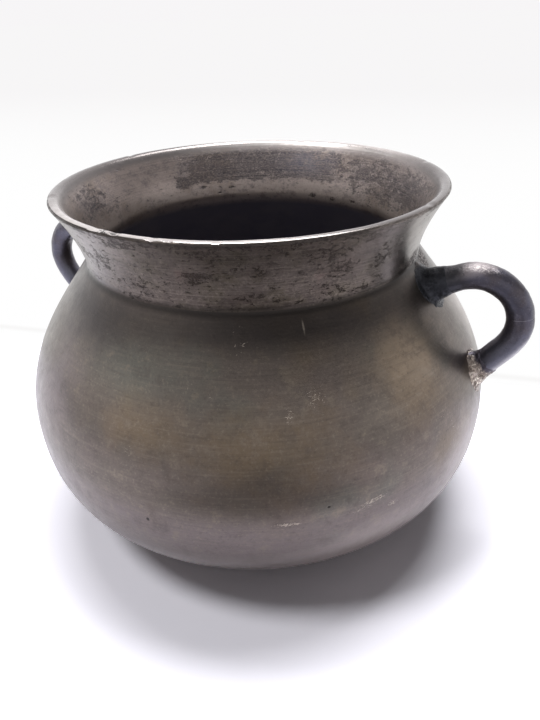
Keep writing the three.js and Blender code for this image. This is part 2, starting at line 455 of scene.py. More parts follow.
crust_grain = 0.0050
crust_seed = 19.0

# The belly's golden clouds: the turn and height of each, its reach across and up, raggedness and strength.
golden_clouds = (
    (-64, 0.112, 0.060, 0.026, 2.4, 1.0),
    (-28, 0.128, 0.034, 0.034, 2.0, 0.8),
    (-88, 0.119, 0.044, 0.020, 1.8, 1.0),
)

# Its scuffs: the turn and height of each, its reach across and up, its tilt, softness and strength. The
# scratches in them: the turn that they face, their tilt, seed and length.
belly_scuffs = (
    (-51, 0.135, 0.011, 0.010, 0, 1.0, 1.0),
    (-57, 0.129, 0.008, 0.008, 0, 1.0, 1.0),
    (-91, 0.110, 0.006, 0.008, 0, 1.0, 1.0),
    (-59, 0.079, 0.015, 0.0024, -2, 0.8, 1.38),
    (-42, 0.0815, 0.024, 0.0050, 14, 0.9, 1.42),
    (-37, 0.075, 0.011, 0.006, 0, 1.0, 1.35),
    (-77, 0.071, 0.007, 0.005, 0, 1.0, 1.0),
)
scuff_scratches = (
    (-55, -12, 4.0, 0.005),
    (-45, 16, 5.0, 0.005),
    (-60, 60, 6.0, 0.005),
    (-42, 14, 14.0, 0.003),
)


def belly_bronze():
    """The belly's skin: old bronze in soft clouds of brown, green-grey and purple, flecked and scuffed, with
    painted shade under the collar and round the handles' roots, and painted reflections of the bright table
    and room low down and on the right flank.
    """
    skin = Skin("belly_bronze")
    wide = skin.noise(0.08, 3, 0.55, seed=7.0)
    clouds = skin.noise(0.03, 5, 0.65, seed=1.0)
    mottle = skin.noise(0.0075, 5, 0.72, seed=2.0)
    grain = skin.noise(0.0013, 3, 0.65, seed=3.0)
    height = skin.along((0, 0, 1))
    tint = skin.mix(clouds.rise(0.35, 0.65), colour(100, 91, 86), colour(94, 87, 81))
    green = skin.patch(-95, 0.145, 0.060, 0.024, edge=clouds, ragged=1.6, soft=1.0) | wide.rise(0.55, 0.68)
    tint = skin.mix(green * 0.8, tint, colour(93, 93, 87))
    golden = wide.rise(0.47, 0.36) * 0.8
    for *place, ragged, strength in golden_clouds:
        golden = golden | (skin.patch(*place, edge=clouds, ragged=ragged, soft=1.0) * strength)
    tint = skin.mix(golden * mottle.rise(0.3, 0.6, 0.45, 0.8), tint, colour(106, 92, 74))
    tawny = skin.patch(-25, 0.142, 0.034, 0.018, edge=clouds, ragged=1.6, soft=1.0)
    tint = skin.mix(tawny * 0.8, tint, colour(140, 125, 108))
    rosy = skin.patch(-118, 0.132, 0.030, 0.030, edge=clouds, ragged=2.0, soft=1.0)
    rosy = rosy | height.rise(0.090, 0.072)
    tint = skin.mix(rosy * clouds.rise(0.3, 0.6, 0.5, 0.9), tint, colour(106, 97, 97))
    tint = skin.mix(mottle.rise(0.50, 0.66, 0, 0.4), tint, colour(78, 71, 68))
    tint = skin.mix(mottle.rise(0.46, 0.32, 0, 0.5), tint, colour(120, 110, 98))
    brushed = skin.noise(0.03, 4, 0.7, stretch=(1, 1, 26), seed=18.0)
    tint = skin.mix(brushed.rise(0.5, 0.7, 0, 0.3), tint, colour(122, 112, 102))
    tint = skin.mix(brushed.rise(0.48, 0.3, 0, 0.3), tint, colour(74, 68, 65))
    tint = skin.mix(grain.rise(0.52, 0.74, 0, 0.4), tint, colour(128, 119, 108))
    tint = skin.mix(grain.rise(0.45, 0.25, 0, 0.4), tint, colour(62, 57, 55))
    # Painted reflection: the belly is painted lighter towards the bottom, where it mirrors the lit table.
    tint = skin.mix(height.rise(0.066, 0.034) * 0.85, tint, colour(140, 129, 127))
    # Painted reflection: a pale sheen low on the right, standing in for the bright table mirrored there.
    painted_table_sheen = skin.patch(-34, 0.042, 0.078, 0.036, soft=1.0)
    tint = skin.mix(painted_table_sheen * mottle.rise(0.3, 0.7, 1, 0.8), tint, colour(188, 176, 173))
    # Painted reflection: pale light on the right flank beside the handle and low down, where the metal
    # catches the bright room.
    painted_flank_light = skin.patch(16, 0.130, 0.034, 0.034, soft=1.0) | skin.patch(-10, 0.070, 0.040, 0.036, soft=1.0)
    tint = skin.mix(painted_flank_light * 0.75, tint, colour(176, 167, 163))
    dusky = skin.patch(-116, 0.156, 0.062, 0.026, edge=clouds, ragged=1.2, soft=1.0)
    tint = skin.mix(dusky * 0.85, tint, colour(60, 56, 56))
    # Painted shade: the shoulder is darkened under the collar, where the collar keeps the light off it.
    shade_under_collar = height.rise(0.147, 0.160) * clouds.rise(0.3, 0.6, 0.7, 0.95)
    shade_under_collar = shade_under_collar * skin.patch(-58, 0.164, 0.150, 0.034, edge=clouds, ragged=0.8, soft=0.9).rise(0, 1, 0.5, 1)
    tint = skin.mix(shade_under_collar * 0.9, tint, colour(45, 41, 41))
    # Painted shade: a dark line along the crease under the collar.
    tint = skin.mix(height.line(neck_height - 0.001, 0.006) * 0.8, tint, colour(34, 31, 30))
    scorched = skin.pair(0, 0.118, 0.018, 0.014, edge=mottle, ragged=0.8, soft=1.0)
    tint = skin.mix(scorched * 0.6, tint, colour(92, 74, 74))
    # Painted shade: dark round each handle's root, under the collar.
    shade_round_roots = skin.pair(5, 0.159, 0.027, 0.012, edge=mottle, ragged=0.6, soft=0.8)
    tint = skin.mix(shade_round_roots * 0.85, tint, colour(42, 40, 41))
    crust = skin.pair(9, 0.1650, 0.014, 0.008, edge=mottle, ragged=0.8, soft=0.6)
    cracks = skin.crackle(crust_grain, crust_seed)
    tint = crusted(skin, tint, crust, grain, cracks, colour(92, 86, 85), colour(208, 200, 196))
    worn = skin.noise(0.035, 3, 0.6, seed=8.0).rise(0.5, 0.72) * 0.7
    for *place, tilt, soft, strength in belly_scuffs:
        worn = worn | (skin.patch(*place, tilt=tilt, soft=soft) * strength)
    flecks = skin.specks(worn * 0.4, 0.0024, 9.0, level=0.8)
    pale = flecks | (skin.patch(-51, 0.161, 0.0007, 0.004, soft=0.8) * 0.5)
    for turn, tilt, seed, length in scuff_scratches:
        pale = pale | skin.strokes(turn, tilt, seed, worn, length)
    tint = skin.mix(pale * grain.rise(0.3, 0.6, 0.3, 0.8), tint, colour(196, 184, 170))
    pits = skin.specks(0.0, 0.003, 10.0, level=0.83)
    pits = pits | skin.patch(-87, 0.0756, 0.0012, 0.0014, soft=0.4)
    pits = pits | skin.patch(-51, 0.086, 0.0011, 0.0009, soft=0.4)
    tint = skin.mix(pits * 0.85, tint, colour(34, 31, 29))
    relief = grain * 0.3 + mottle * 0.5 + brushed * 0.2 + pale * 0.2 - pits * 0.8
    relief = relief + crust * (grain - cracks)
    rough = mottle.rise(0.3, 0.7, 0.28, 0.37) + crust * 0.3
    return skin.finish(Base_Color=tint, Metallic=0.88 - crust * 0.6, Roughness=rough,
                       Normal=skin.relief(relief, 0.0002))


# The clusters of pits on the collar: the turn and height of each, and its reach across and up. The lesser
# ones have fewer pits.
main_cluster = (-79, 0.186, 0.012, 0.009)
lesser_clusters = (
    (-75, 0.199, 0.016, 0.007), (-73, 0.191, 0.009, 0.009), (-62, 0.189, 0.009, 0.008),
    (-57, 0.201, 0.014, 0.005), (-96, 0.201, 0.018, 0.006), (-96, 0.178, 0.010, 0.006),
    (-109, 0.187, 0.008, 0.010), (-46, 0.196, 0.020, 0.009), (-40, 0.186, 0.018, 0.010),
    (-43, 0.176, 0.014, 0.006), (-33, 0.200, 0.014, 0.004), (-22, 0.190, 0.008, 0.012),
    (-66, 0.175, 0.014, 0.006), (-30, 0.171, 0.020, 0.003), (-100, 0.170, 0.020, 0.003),
)
lesser_density = 0.88


def collar_bronze():
    """The outside of the collar: scraped round in fine lines, with clusters of brown pits along them, painted
    shade at its foot and under the rim, and painted reflections on its sides.
    """
    skin = Skin("collar_bronze")
    turned = skin.noise(0.05, 4, 0.7, stretch=(1, 1, 60), seed=1.0)
    clouds = skin.noise(0.020, 5, 0.65, seed=4.0)
    mottle = skin.noise(0.005, 5, 0.72, seed=6.0)
    grain = skin.noise(0.0011, 3, 0.65, seed=5.0)
    height = skin.along((0, 0, 1))
    # Painted shade: the collar is painted darker towards its foot, where it mirrors the dark shoulder.
    tint = skin.mix(height.rise(neck_height, rim_height - 0.006), colour(74, 66, 62), colour(92, 84, 79))
    tint = skin.mix(clouds.rise(0.45, 0.62, 0, 0.7), tint, colour(82, 76, 64))
    tint = skin.mix(clouds.rise(0.42, 0.3, 0, 0.7), tint, colour(98, 82, 78))
    tint = skin.mix(mottle.rise(0.5, 0.62, 0, 0.6), tint, colour(60, 54, 51))
    tint = skin.mix(mottle.rise(0.46, 0.36, 0, 0.4), tint, colour(118, 108, 101))
    tint = skin.mix(turned.rise(0.48, 0.65, 0, 0.45), tint, colour(116, 106, 99))
    tint = skin.mix(turned.rise(0.45, 0.3, 0, 0.45), tint, colour(56, 50, 48))
    tint = skin.mix(grain.rise(0.5, 0.72, 0, 0.4), tint, colour(130, 120, 110))
    density = height.rise(rim_height - 0.006, rim_height - 0.002, 0, 0.7) | clouds.rise(0.50, 0.66, 0, 0.7)
    density = density | skin.patch(*main_cluster, soft=1.0)
    for cluster in lesser_clusters:
        density = density | (skin.patch(*cluster, soft=1.0) * lesser_density)
    brown = skin.pitting(density, 0.0032, 12.0, stretch=(1, 1, 1.8))
    brown = brown | skin.pitting(density, 0.0060, 13.0, stretch=(1, 1, 1.6)) * grain.rise(0.42, 0.5)
    tint = skin.mix(density * 0.45, tint, colour(72, 62, 56))
    tint = skin.mix(brown * clouds.rise(0.35, 0.55, 0.55, 0.8), tint, colour(42, 35, 32))
    # Painted shade: a dark band just under the rim's outer edge.
    shade_under_rim = height.rise(rim_height - 0.0028, rim_height - 0.0014)
    tint = skin.mix(shade_under_rim * 0.75, tint, colour(58, 53, 51))
    # Painted shade: darker at the collar's foot, in the crease over the shoulder.
    foot = height.rise(neck_height + 0.0034, neck_height + 0.0003) * clouds.rise(0.3, 0.6, 0.4, 0.9)
    tint = skin.mix(foot * 0.8, tint, colour(44, 40, 38))
    # Painted reflection: the collar is painted paler on its sides, towards the handles, where it mirrors the
    # bright table and windows.
    sides = abs(skin.along((1, 0, 0))).rise(0.082, 0.102)
    tint = skin.mix(sides * clouds.rise(0.3, 0.6, 0.5, 0.2), tint, colour(160, 151, 146))
    crust = skin.pair(-2, 0.1715, 0.013, 0.0065, edge=mottle, ragged=0.8, soft=0.6)
    cracks = skin.crackle(crust_grain, crust_seed)
    tint = crusted(skin, tint, crust, grain, cracks, colour(88, 82, 81), colour(200, 192, 188))
    relief = turned * 0.25 + grain * 0.2 + mottle * 0.25 - brown * 0.6 + crust * (grain - cracks)
    rough = turned * 0.1 + brown * 0.15 + crust * 0.3 + 0.25
    return skin.finish(Base_Color=tint, Metallic=0.9 - crust * 0.6, Roughness=rough,
                       Normal=skin.relief(relief, 0.00024))


# How far out towards the handles the lip's polish begins to fade, and where it is gone.
polish_ends = (0.045, 0.095)
dulled = colour(108, 103, 102)


def lip_bronze():
    """The lip: worn bright by lids and scouring, duller on both sides, with dull nicks."""
    skin = Skin("lip_bronze")
    worn = skin.noise(0.006, 4, 0.65, seed=41.0)
    grain = skin.noise(0.0009, 3, 0.65, seed=42.0)
    nicked = skin.patch(-98, 0.2055, 0.013, 0.010, soft=0.7) | worn.rise(0.6, 0.7, 0, 0.6)
    tint = skin.mix(worn.rise(0.35, 0.65), colour(204, 198, 196), colour(186, 179, 176))
    tint = skin.mix(abs(skin.along((1, 0, 0))).rise(*polish_ends), tint, dulled)
    chips = skin.specks(nicked, 0.003, 43.0, level=0.76)
    tint = skin.mix(chips, tint, colour(60, 53, 50))
    slope = skin.along((0, 0, 1)).rise(rim_height - 0.0006, rim_height - lip_round_depth)
    rough = worn.rise(0.3, 0.7, 0.18, 0.28) + slope * 0.2
    return skin.finish(Base_Color=tint, Metallic=0.92 - chips * 0.7, Roughness=rough,
                       Normal=skin.relief(grain * 0.3 + worn * 0.7, 0.00006))


# The stains inside the collar: the turn and height of each, its reach across and up, its raggedness, softness
# and strength.
collar_stains = (
    (115, 0.1915, 0.057, 0.0105, 1.2, 0.25, 1.0),
    (90, 0.1915, 0.040, 0.0125, 2.2, 0.7, 0.95),
    (64, 0.190, 0.030, 0.014, 2.6, 0.8, 0.8),
    (40, 0.189, 0.064, 0.017, 3.0, 0.8, 0.95),
    (-163, 0.190, 0.032, 0.014, 2.6, 0.9, 0.75),
    (-60, 0.188, 0.070, 0.013, 3.0, 0.6, 0.85),
)

# The pits near the throat: the turn and height of each, its reach across and up, and its raggedness.
throat_pits = (
    (138, 0.1795, 0.0026, 0.0013, 1.6),
    (131, 0.1745, 0.0018, 0.0012, 2.0),
    (125, 0.1776, 0.0030, 0.0010, 2.0),
    (88, 0.1722, 0.0034, 0.0022, 2.0),
    (78, 0.1712, 0.0028, 0.0018, 2.0),
    (67, 0.1724, 0.0040, 0.0015, 2.0),
    (86, 0.2010, 0.0030, 0.0012, 2.0),
)


def hollow_bronze():
    """The inside: the collar scraped beige with blue-grey stains and pits, and the belly black with soot
    under a painted haze of light.
    """
    skin = Skin("hollow_bronze")
    height = skin.along((0, 0, 1))
    turned = skin.noise(0.05, 4, 0.7, stretch=(1, 1, 60), seed=11.0)
    clouds = skin.noise(0.028, 5, 0.65, seed=12.0)
    mottle = skin.noise(0.006, 6, 0.75, stretch=(1, 1, 1.3), seed=13.0)
    grain = skin.noise(0.0011, 3, 0.65, seed=14.0)
    throat_side = height.rise(0.190, 0.172)
    tint = skin.mix(turned.rise(0.4, 0.65, 0, 0.7), colour(146, 134, 129), colour(118, 108, 105))
    tint = skin.mix(throat_side, tint, colour(168, 155, 148))
    tint = skin.mix(clouds.rise(0.5, 0.65, 0, 0.6), tint, colour(126, 112, 102))
    tint = skin.mix(mottle.rise(0.5, 0.62, 0, 0.55), tint, colour(98, 91, 93))
    tint = skin.mix(mottle.rise(0.46, 0.34, 0, 0.4), tint, colour(162, 149, 141))
    tint = skin.mix(grain.rise(0.5, 0.75, 0, 0.4), tint, colour(170, 160, 152))
    tint = skin.mix(grain.rise(0.44, 0.28, 0, 0.4), tint, colour(88, 81, 80))
    stained = skin.patch(147, 0.184, 0.008, 0.006, edge=mottle, ragged=1.2, soft=0.4)
    for *place, ragged, soft, strength in collar_stains:
        stained = stained | (skin.panel(*place, mottle, ragged, soft) * strength)
    stains = skin.pitting(stained * 1.5, 0.0060, 15.0, stretch=(1, 1, 1.8))
    stains = stains | (skin.pitting(stained * 1.3, 0.0018, 16.0, stretch=(1, 1, 2.2)) * 0.85)
    bare = skin.noise(0.0016, 5, 0.8, stretch=(1, 1, 3), seed=20.0).rise(0.50, 0.58, 0, 0.6)
    stains = stains * (1 - bare) * turned.rise(0.3, 0.6, 1.0, 0.6)
    blue = skin.patch(92, 0.193, 0.036, 0.014, soft=1.0)
    tint = skin.mix(stains, tint, skin.mix(blue, colour(50, 48, 54), colour(86, 88, 102)))
    pits = skin.specks(stained * 0.3, 0.003, 17.0, level=0.8)
    for *place, ragged in throat_pits:
        pits = pits | skin.patch(*place, edge=grain, ragged=ragged)
    tint = skin.mix(pits * 0.85, tint, colour(46, 40, 40))
    # The soot is painted paler than soot: a painted haze of light over the dark hollow.
    soot = height.rise(neck_height - 0.0050, neck_height + 0.0015, 1, 0)
    tint = skin.mix(soot, tint, skin.mix(clouds.rise(0.4, 0.6), colour(102, 99, 110), colour(110, 106, 114)))
    dull = abs(skin.along((1, 0, 0))).rise(*polish_ends)
    polished = height.rise(rim_height - 0.0075, rim_height - lip_round_depth) * dull.rise(0, 1, 0.6, 1)
    tint = skin.mix(polished, tint, skin.mix(dull, colour(195, 188, 186), dulled))
    relief = turned * 0.25 + grain * 0.2 + mottle * 0.25 - stains * 0.3 - pits * 0.6
    metallic = (1 - soot) * throat_side.rise(0, 1, 0.75, 0.2) + polished * 0.17
    rough = soot * 0.4 + stains * 0.1 + polished.rise(0, 1, 0.33, 0.40)
    return skin.finish(Base_Color=tint, Metallic=metallic, Roughness=rough,
                       Normal=skin.relief(relief, 0.00028))


# How far a face must face outwards to be outside the lip or the collar, and to be upright rather than level.
lip_facing = 0.45
collar_facing = 0.2
upright_facing = 0.05


def skin_of(face):
    """Which of the pot's skins a face has: 0 outside the belly, 1 outside the collar, 2 the lip, 3 inside."""
    outward = Vector((face.center.x, face.center.y, 0)).normalized()
    facing = face.normal.dot(outward)
    if face.center.z > rim_height - lip_round_depth:
        return 1 if facing > lip_facing else 2
    if face.center.z > neck_height:
        return 1 if facing > collar_facing else 3
    outer = facing > 0 if abs(facing) > upright_facing else face.normal.z < 0
    return 0 if outer else 3


for material in (belly_bronze(), collar_bronze(), lip_bronze(), hollow_bronze()):
    pot.data.materials.append(material)
for face in pot.data.polygons:
    face.material_index = skin_of(face)
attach(pot, "root")
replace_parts(pot, "pot_body")
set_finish(pot, "pot_bronze")

# The handles are round iron bars. Each is drawn out from a thick root in the shoulder, bent once round a
# former, and ends in a straight leg that comes back to the belly. The left one is the right one turned half
# round.
bar_radius = 0.00715
root_radius = 0.0093
root_taper = 0.025
root_inside = 0.008
bend_radius = 0.0235
bend_drop = 0.0275
bend_centre = flat_point(cad_high.x - bar_radius - bend_radius, neck_height - bend_drop)
arm_rise = 23
leg_rise = 53.8
arm_length = 0.03
leg_length = 0.03
bar_sides = 28
bar_steps = 16
bend_steps = 44


def ring_radius(distance):
    """The bar's radius at a distance from its root."""
    share = min(max(distance / root_taper, 0), 1)
    return root_radius + (bar_radius - root_radius) * share * share * (3 - 2 * share)


def meeting(place, way):
    """Where a line in the plane of X and Z meets the belly's outside, and which way the wall faces there."""
    for start, end in reversed(list(zip(outside, outside[1:]))):
        along = end - start
        facing = flat_point(along.z, -along.x).normalized()
        met = place + way * (start - place).dot(facing) / way.dot(facing)
        if 0 <= (met - start).dot(along) <= along.length_squared:
            return met, facing


def select_faces(piece, wanted):
    """Goes into edit mode with the faces selected that are wanted."""
    piece.data.vertices.foreach_set("select", [False] * len(piece.data.vertices))
    piece.data.edges.foreach_set("select", [False] * len(piece.data.edges))
    piece.data.polygons.foreach_set("select", [wanted(face) for face in piece.data.polygons])
    bpy.ops.object.mode_set(mode="EDIT")
    bpy.ops.mesh.select_mode(type="FACE")


def is_arm(face):
    return face.center.z > bend_centre.z


def is_leg(face):
    return face.center.z <= bend_centre.z


arm_way = leaning(1, arm_rise)
arm_end = bend_centre + leaning(bend_radius, 90 + arm_rise)
leg_way = leaning(1, leg_rise)
leg_end = bend_centre + leaning(bend_radius, leg_rise - 90)
arm_foot, arm_wall = meeting(arm_end, arm_way)
leg_foot, leg_wall = meeting(leg_end, leg_way)


def bar_handle(name):
    """Draws a bar out of a disc, along its arm, round its bend and along its leg. It ends inside the wall."""
    bpy.ops.object.select_all(action="DESELECT")
    bpy.ops.mesh.primitive_circle_add(vertices=bar_sides, radius=root_radius, fill_type="NGON",
                                      location=arm_end - arm_way * arm_length,
                                      rotation=(0, math.radians(90 - arm_rise), 0))
    bar = bpy.context.object
    bar.name = name
    bpy.ops.object.transform_apply(location=True, rotation=True, scale=True)
    bpy.ops.object.mode_set(mode="EDIT")
    bpy.ops.mesh.select_all(action="SELECT")
    for step in range(bar_steps):
        here, there = (ring_radius(arm_length * (step + more) / bar_steps - root_inside) for more in (0, 1))
        bpy.ops.mesh.extrude_region_move(TRANSFORM_OT_translate={"value": arm_way * arm_length / bar_steps})
        bpy.ops.transform.resize(value=(there / here,) * 3)
    bpy.ops.mesh.spin(steps=bend_steps, angle=math.radians(180 + arm_rise - leg_rise), center=bend_centre,
                      axis=(0, -1, 0))
    for step in range(bar_steps):
        bpy.ops.mesh.extrude_region_move(TRANSFORM_OT_translate={"value": -leg_way * leg_length / bar_steps})
    bpy.ops.mesh.select_all(action="SELECT")
    bpy.ops.mesh.remove_doubles(threshold=merge_distance)
    bpy.ops.mesh.normals_make_consistent(inside=False)
    bpy.ops.object.mode_set(mode="OBJECT")
    for half, foot, facing in ((is_arm, arm_foot, arm_wall), (is_leg, leg_foot, leg_wall)):
        select_faces(bar, half)
        bpy.ops.mesh.bisect(plane_co=foot - facing * belly_wall / 2, plane_no=facing, use_fill=True,
                            clear_inner=True)
        bpy.ops.object.mode_set(mode="OBJECT")
    return bar


def turned_copy(piece, name):
    """The same piece on the pot's other side, with a mesh of its own."""
    bpy.ops.object.select_all(action="DESELECT")
    piece.select_set(True)
    bpy.context.view_layer.objects.active = piece
    bpy.ops.object.duplicate()
    twin = bpy.context.object
    twin.name = name
    bpy.ops.transform.rotate(value=math.pi, orient_axis="Z", center_override=(0, 0, 0))
    bpy.ops.object.transform_apply(location=True, rotation=True, scale=True)
    return twin


def forged_iron():
    """The bars' skin: dark iron, blue-black with age, rough along the top from hands and paler there from
    that wear and a painted highlight, with painted reflections of the table on the leg and painted shade at
    the root.
    """
    skin = Skin("forged_iron")
    patches = skin.noise(0.010, 4, 0.6, seed=21.0)
    scale = skin.noise(0.0022, 5, 0.75, seed=24.0)
    grain = skin.noise(0.0009, 4, 0.7, seed=22.0)
    height = skin.along((0, 0, 1))
    out = abs(skin.along((1, 0, 0)))
    over_arm = height * 0.92 - out * 0.39
    under_leg = out * 0.807 - height * 0.59
    worn = over_arm.rise(0.1010, 0.1075)
    tint = skin.mix(patches.rise(0.35, 0.65), colour(78, 77, 90), colour(78, 73, 79))
    # Painted reflection: the leg is painted bluer and paler, as it mirrors the table.
    tint = skin.mix(height.rise(0.142, 0.128), tint, colour(92, 92, 104))
    # The top of the arm is painted paler: partly the wear of hands, partly a painted highlight from the lamps
    # above.
    tint = skin.mix(worn * 0.9, tint, colour(176, 167, 169))
    tint = skin.mix(scale.rise(0.5, 0.7, 0, 0.5), tint, colour(58, 54, 60))
    tint = skin.mix(grain.rise(0.5, 0.72, 0, 0.5), tint, colour(116, 110, 116))
    tint = skin.mix(grain.rise(0.4, 0.25, 0, 0.5), tint, colour(44, 41, 46))
    # Painted highlight: bright glints on the top of the arm near its root.
    bright = skin.pair(-2, 0.1705, 0.006, 0.003, soft=1.0) * out.rise(0.112, 0.122) * out.rise(0.146, 0.138)
    tint = skin.mix(bright * grain.rise(0.5, 0.56) * 0.9, tint, colour(214, 207, 205))
    # Painted reflection: a pale rim along the underside of the leg, mirroring the white table.
    edge = under_leg.rise(0.0478, 0.0518) * height.rise(0.150, 0.140)
    tint = skin.mix(edge * grain.rise(0.3, 0.6, 0.5, 0.9), tint, colour(172, 169, 173))
    seam = (height - out * 0.15).line(0.12265, 0.0004) * out.rise(0.149, 0.151)
    tint = skin.mix(seam * patches.rise(0.3, 0.6, 0.3, 0.9), tint, colour(126, 122, 130))
    # Painted shade: the bar darkens towards its root under the collar, so its highlight fades there.
    root = out.rise(arm_foot.x + 0.026, arm_foot.x + 0.012)
    root = root * height.rise(bend_centre.z, bend_centre.z + 0.004)
    tint = skin.mix(root * patches.rise(0.3, 0.6, 0.7, 0.95), tint, colour(50, 51, 56))
    relief = grain * worn.rise(0, 1, 0.35, 1.4) + scale * worn.rise(0, 1, 0.3, 0.8)
    relief = relief + patches * 0.4 + seam * 0.2
    rough = patches.rise(0.3, 0.7, 0.3, 0.38) + worn * 0.1
    return skin.finish(Base_Color=tint, Metallic=0.7, Roughness=rough, Normal=skin.relief(relief, 0.0003))


right_bar = bar_handle("bar_right")
fine = right_bar.modifiers.new("rounder", "SUBSURF")
fine.levels = fine.render_levels = 1
bpy.ops.object.modifier_apply(modifier="rounder")
uneven(right_bar, "hammered", grain=0.011, depth=0.0007, level=0.75)
uneven(right_bar, "scaled", grain=0.003, depth=0.0002, level=0.75)
bpy.ops.object.shade_smooth()
right_bar.data.materials.append(forged_iron())
for bar, node_name in ((right_bar, "handle_right"), (turned_copy(right_bar, "bar_left"), "handle_left")):
    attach(bar, "root")
    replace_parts(bar, node_name)
    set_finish(bar, "handle_iron")

# The braze was run round both ends of each bar and left as it froze: lumpy, pitted and cracked, with bright
# grains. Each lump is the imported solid, run together with a sleeve on the bar and a skirt on the wall, then
# remeshed finely as one piece, melted thin towards its edges and roughened.
braze_grain = 0.0005
skirt_depth = 0.0022
skirt_facing = 0.3
braze_film = 0.0003
braze_sink = 0.0012
braze_softness = 60
braze_pull = 0.5
lump_size = 0.0045
pit_size = 0.0015


def run_braze(name, foot, way, reach, wall, dark, pale, spark, dark_from, pale_from):
    """The braze's skin: dark where it took the bar's scale, grey and cracked with bright grains elsewhere,
    and as the wall or the bar where it thins out on them."""
    skin = Skin(name)
    lumps = skin.noise(0.004, 4, 0.7, seed=31.0)
    grain = skin.noise(0.0014, 4, 0.75, seed=32.0)
    cracks = skin.crackle(0.0028, 33.0)
    out = abs(skin.along((1, 0, 0))) - foot.x
    flecked = skin.noise(0.0045, 3, 0.6, seed=34.0)
    beside = skin.along((0, 1, 0))
    height = skin.along((0, 0, 1))
    over = height - foot.z
    thin = ((out * out + beside * beside + over * over) * (1 / reach ** 2) + (lumps - 0.5) * 2).rise(0.8, 1.1)
    bare = height.rise(dark_from, pale_from) * lumps.rise(0.3, 0.5, 0.6, 1.0)
    tint = skin.mix(bare, dark, skin.mix(lumps.rise(0.42, 0.6), pale, colour(112, 101, 92)))
    tint = skin.mix(bare * grain.rise(0.53, 0.60) * flecked.rise(0.47, 0.54, 0.25, 1), tint, spark)
    gaps = cracks.rise(0.2, 1, 0, 0.7) | grain.rise(0.44, 0.36, 0, 0.8)
    tint = skin.mix(gaps * bare, tint, colour(40, 34, 34))
    tint = skin.mix(thin, tint, wall)
    climbed = (out * way.x + over * way.z + (lumps - 0.5) * 0.012).rise(0.0045, 0.0075)
    tint = skin.mix(climbed, tint, dark)
    relief = (lumps * 0.4 + grain * 0.6 - cracks * 0.4) * climbed.rise(0, 1, 1, 0.25)
    return skin.finish(Base_Color=tint, Metallic=0.85, Roughness=grain.rise(0.3, 0.7, 0.5, 0.28),
                       Normal=skin.relief(relief, 0.0005))


brazes = {
    "upper": {
        "foot": arm_foot, "facing": arm_wall, "way": arm_way, "climb": 0.012, "reach": 0.0145,
        "half": is_arm, "share": 0.86, "lumps": 0.0006, "pits": 0.0001,
        # Under the collar, the upper braze's dark tint and wall colour also carry the painted shade of the
        # handle's root.
        "skin": run_braze(
            "run_braze_upper", arm_foot, arm_way, reach=0.0160, wall=colour(50, 47, 47),
            dark=colour(50, 51, 56), pale=colour(120, 113, 111), spark=colour(200, 194, 190),
            dark_from=0.165, pale_from=0.169),
    },
    "lower": {
        "foot": leg_foot, "facing": leg_wall, "way": leg_way, "climb": 0.010, "reach": 0.0130,
        "half": is_leg, "share": 0.90, "lumps": 0.0011, "pits": 0.0003,
        "skin": run_braze(
            "run_braze_lower", leg_foot, leg_way, reach=0.0135, wall=colour(110, 98, 94),
            dark=colour(70, 66, 74), pale=colour(186, 173, 163), spark=colour(250, 244, 228),
            dark_from=0.128, pale_from=0.1225),
    },
}


def spare(piece, name):
    """A copy of a piece, alone selected, to be cut from."""
    bpy.ops.object.select_all(action="DESELECT")
    copied = piece.copy()
    copied.data = piece.data.copy()
    copied.name = name
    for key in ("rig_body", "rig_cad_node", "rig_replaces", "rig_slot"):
        if key in copied:
            del copied[key]
    bpy.context.collection.objects.link(copied)
    copied.parent = None
    copied.select_set(True)
    bpy.context.view_layer.objects.active = copied
    return copied


